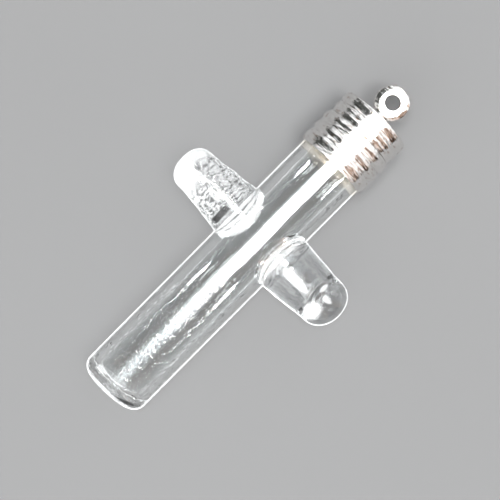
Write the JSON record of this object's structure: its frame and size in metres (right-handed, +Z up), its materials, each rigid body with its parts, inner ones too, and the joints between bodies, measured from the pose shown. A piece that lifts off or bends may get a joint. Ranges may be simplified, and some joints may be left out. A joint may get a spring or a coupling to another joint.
{
  "type": "cross-shaped glass bottle pendant",
  "caption": "Cross-shaped bottle pendant: a clear glass tube with solid glass side arms, closed by a ribbed silver-coloured metal cap with a hanging loop.",
  "frame": {"origin": "middle of the bounding box seen from above, on the surface that the pendant lies on", "axes": "+Y along the bottle towards the loop, +X towards the right arm, +Z up from the surface"},
  "size_m": [0.02, 0.0376, 0.0074],
  "materials": {
    "clear_glass": "clear, fire-polished, faintly wavy",
    "silver_plate": "bright silver plating with fine wear"
  },
  "bodies": {
    "bottle": {"tube": "clear_glass", "left_arm": "clear_glass", "right_arm": "clear_glass", "collar": "silver_plate"},
    "cap": {"cap": "silver_plate"}
  },
  "joints": [
    {"name": "cap_lift", "type": "slide", "parent": "bottle", "child": "cap", "axis": [0, 0.9999, 0.0138], "range_m": [0, 0.012]}
  ]
}
